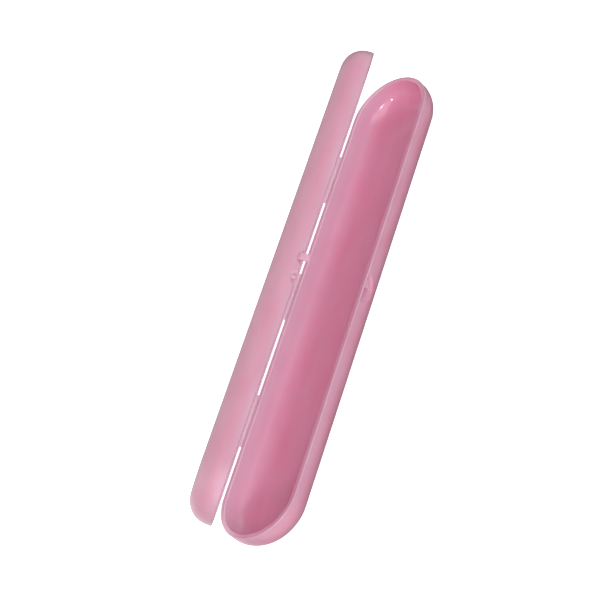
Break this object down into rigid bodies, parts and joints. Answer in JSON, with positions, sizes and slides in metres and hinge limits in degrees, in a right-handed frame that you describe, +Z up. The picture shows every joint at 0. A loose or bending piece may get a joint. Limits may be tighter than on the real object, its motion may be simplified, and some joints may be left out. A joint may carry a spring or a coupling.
{
  "type": "hinged hair roller case",
  "caption": "Slim one-piece plastic case with rounded ends: a tray and a lid joined by a living hinge, shut by a snap tongue.",
  "frame": {"origin": "middle of the tray's flat underside", "axes": "+X along the case, +Y towards the living hinge, +Z up out of the tray; the snap clasp is on the -Y side"},
  "size_m": [0.2, 0.0377, 0.0398],
  "materials": {
    "tray_moulding": "glossy pink moulded polypropylene",
    "lid_moulding": "glossy pink moulded polypropylene",
    "hinge_web": "thin pink polypropylene, paler where it folds",
    "clasp": "glossy pink moulded polypropylene"
  },
  "bodies": {
    "tray": {"tray_shell": "tray_moulding", "hinge_web_left": "hinge_web", "hinge_web_centre": "hinge_web", "hinge_web_right": "hinge_web", "guide_lug": "clasp"},
    "lid": {"lid_shell": "lid_moulding", "finger_tab": "clasp"},
    "clasp": {"snap_tongue": "clasp"}
  },
  "joints": [
    {"name": "lid_hinge", "type": "hinge", "parent": "tray", "child": "lid", "pos_m": [0, 0.0175, 0.01215], "axis": [-1, 0, 0], "range_deg": [-43.2, 136.8], "deforming": ["hinge_web_left", "hinge_web_centre", "hinge_web_right"]},
    {"name": "clasp_flex", "type": "hinge", "parent": "lid", "child": "clasp", "pos_m": [0, -0.00585, 0.03688], "axis": [-1, 0, 0], "range_deg": [0, 10], "stiffness_Nm_per_rad": 0.05}
  ]
}
